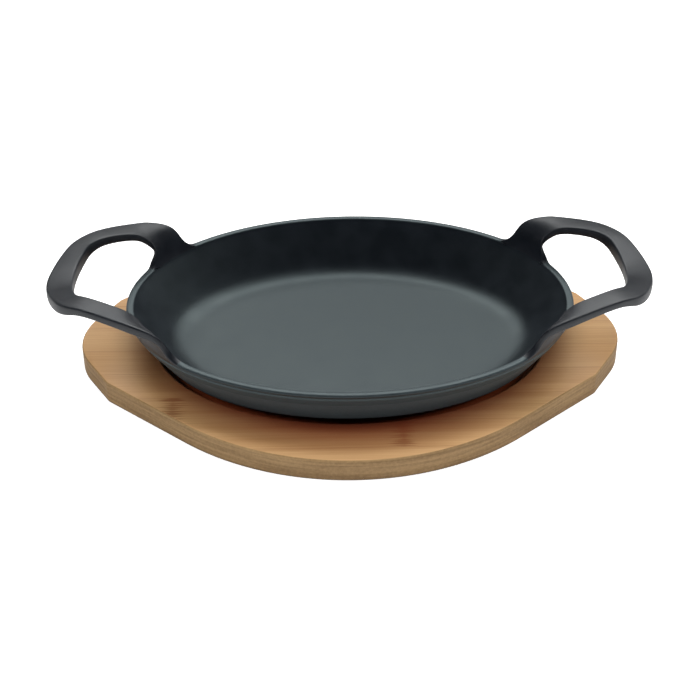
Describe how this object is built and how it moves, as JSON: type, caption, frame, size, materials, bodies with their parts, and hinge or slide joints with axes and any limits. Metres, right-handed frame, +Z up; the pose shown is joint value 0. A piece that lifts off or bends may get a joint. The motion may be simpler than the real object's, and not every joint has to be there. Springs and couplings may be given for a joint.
{
  "type": "oval pan",
  "caption": "Shallow oval cast-iron pan with two raised loop handles, standing loose in the recess of an eared oval bamboo board.",
  "frame": {"origin": "middle of the board's underside, on the surface that the board stands on", "axes": "+X along the pan towards one handle, +Y across the pan, +Z up"},
  "size_m": [0.3224, 0.208, 0.0611],
  "materials": {
    "cast_iron": "matt pre-seasoned black",
    "bamboo": "satin oiled, grain along X"
  },
  "bodies": {
    "board": {"upper_strip_1": "bamboo", "upper_strip_2": "bamboo", "upper_strip_3": "bamboo", "upper_strip_4": "bamboo", "upper_strip_5": "bamboo", "upper_strip_6": "bamboo", "upper_strip_7": "bamboo", "upper_strip_8": "bamboo", "upper_strip_9": "bamboo", "upper_strip_10": "bamboo", "upper_strip_11": "bamboo", "lower_strip_1": "bamboo", "lower_strip_2": "bamboo", "lower_strip_3": "bamboo", "lower_strip_4": "bamboo", "lower_strip_5": "bamboo", "lower_strip_6": "bamboo", "lower_strip_7": "bamboo", "lower_strip_8": "bamboo", "lower_strip_9": "bamboo", "lower_strip_10": "bamboo"},
    "pan": {"pan_bowl": "cast_iron", "left_handle": "cast_iron", "right_handle": "cast_iron"}
  },
  "joints": [
    {"name": "pan_lift", "type": "slide", "parent": "board", "child": "pan", "axis": [0, 0, 1], "range_m": [0, 0.06]}
  ]
}
